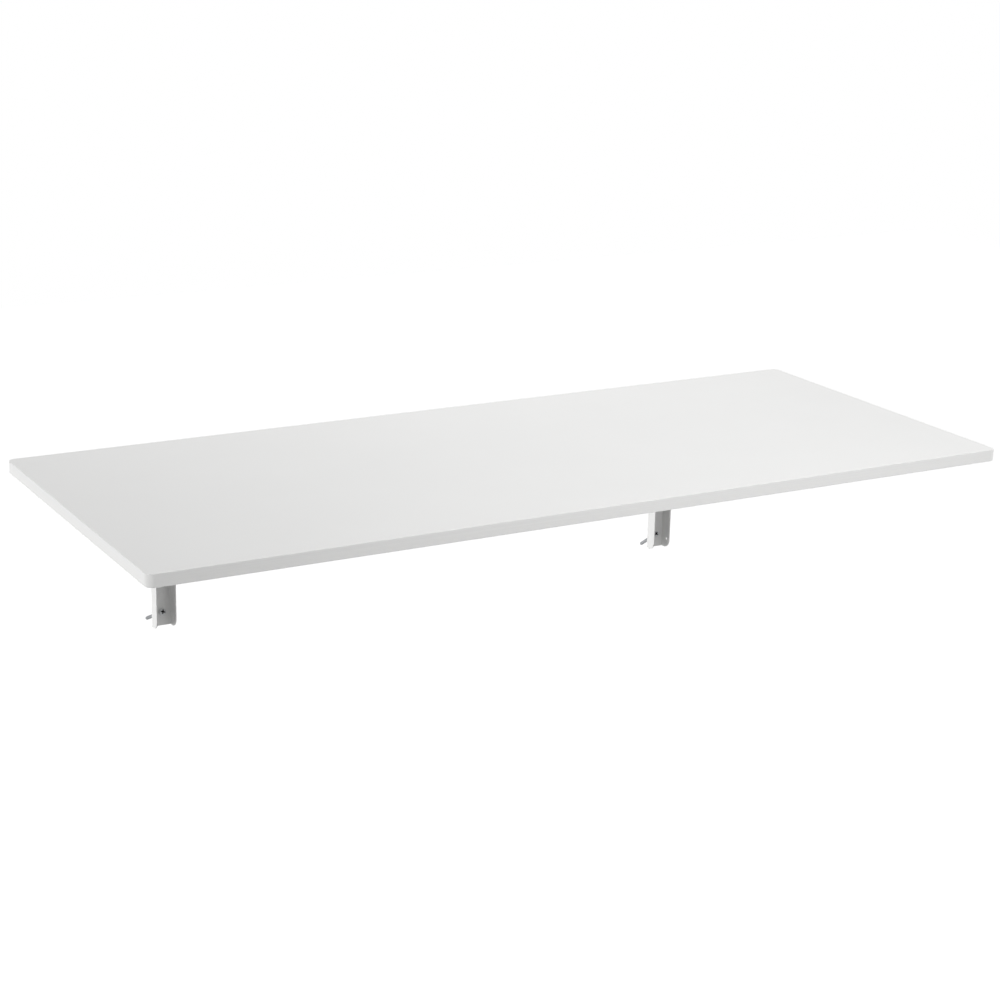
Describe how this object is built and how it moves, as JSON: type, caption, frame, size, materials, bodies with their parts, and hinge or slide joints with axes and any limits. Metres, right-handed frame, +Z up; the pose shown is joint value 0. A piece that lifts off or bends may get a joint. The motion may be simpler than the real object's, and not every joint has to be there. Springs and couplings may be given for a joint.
{
  "type": "wall mounted drop leaf table",
  "caption": "White rectangular wall table that drops flat against the wall on folding sheet metal brackets with wall legs, braces and release levers.",
  "frame": {"origin": "on the wall, in the middle of the four free wall holes", "axes": "+X along the wall, -Y out into the room, +Z up; the wall is the plane Y = 0"},
  "size_m": [1.2, 0.5565, 0.2699],
  "materials": {
    "chipboard": "raw",
    "melamine": "fine satin",
    "edging": "satin",
    "bracket": "powder coat",
    "lever": "powder coat",
    "nylon": "moulded",
    "zinc": "zinc plated",
    "spring": "tempered"
  },
  "bodies": {
    "wall_frame": {"left_wall_leg": "bracket", "left_corner_pin": "zinc", "left_corner_washers": "nylon", "left_brace_pin": "zinc", "left_brace_washers": "nylon", "left_wall_screw": "zinc", "right_wall_leg": "bracket", "right_corner_pin": "zinc", "right_corner_washers": "nylon", "right_brace_pin": "zinc", "right_brace_washers": "nylon", "right_wall_screw": "zinc"},
    "leaf": {"tabletop_core": "chipboard", "top_laminate": "melamine", "underside_laminate": "melamine", "edge_band": "edging", "left_arm": "bracket", "left_arm_screws": "zinc", "left_lever_rivet": "zinc", "left_spring_stud": "zinc", "left_lever_spring": "spring", "right_arm": "bracket", "right_arm_screws": "zinc", "right_lever_rivet": "zinc", "right_spring_stud": "zinc", "right_lever_spring": "spring"},
    "left_strut": {"left_brace": "bracket", "left_guide_pin": "zinc", "left_guide_rollers": "nylon", "left_guide_keepers": "zinc"},
    "right_strut": {"right_brace": "bracket", "right_guide_pin": "zinc", "right_guide_rollers": "nylon", "right_guide_keepers": "zinc"},
    "left_latch": {"left_release_lever": "lever"},
    "right_latch": {"right_release_lever": "lever"}
  },
  "joints": [
    {"name": "leaf_fold", "type": "hinge", "parent": "wall_frame", "child": "leaf", "pos_m": [0, -0.012, 0.089], "axis": [1, 0, 0], "range_deg": [0, 90]},
    {"name": "left_brace_swing", "type": "hinge", "parent": "wall_frame", "child": "left_strut", "pos_m": [-0.396, -0.012, -0.016], "axis": [1, 0, 0], "range_deg": [0, 120.28]},
    {"name": "left_lever_release", "type": "hinge", "parent": "leaf", "child": "left_latch", "pos_m": [-0.396, -0.22021, 0.112], "axis": [1, 0, 0], "range_deg": [0, 10], "stiffness_Nm_per_rad": 0.8, "springref_deg": -5.73, "deforming": ["left_lever_spring"]},
    {"name": "right_brace_swing", "type": "hinge", "parent": "wall_frame", "child": "right_strut", "pos_m": [0.396, -0.012, -0.016], "axis": [1, 0, 0], "range_deg": [0, 120.28]},
    {"name": "right_lever_release", "type": "hinge", "parent": "leaf", "child": "right_latch", "pos_m": [0.396, -0.22021, 0.112], "axis": [1, 0, 0], "range_deg": [0, 10], "stiffness_Nm_per_rad": 0.8, "springref_deg": -5.73, "deforming": ["right_lever_spring"]}
  ],
  "couplings": [
    {"joint": "left_brace_swing", "follows": "leaf_fold", "ratio": 1.3364},
    {"joint": "right_brace_swing", "follows": "leaf_fold", "ratio": 1.3364}
  ]
}
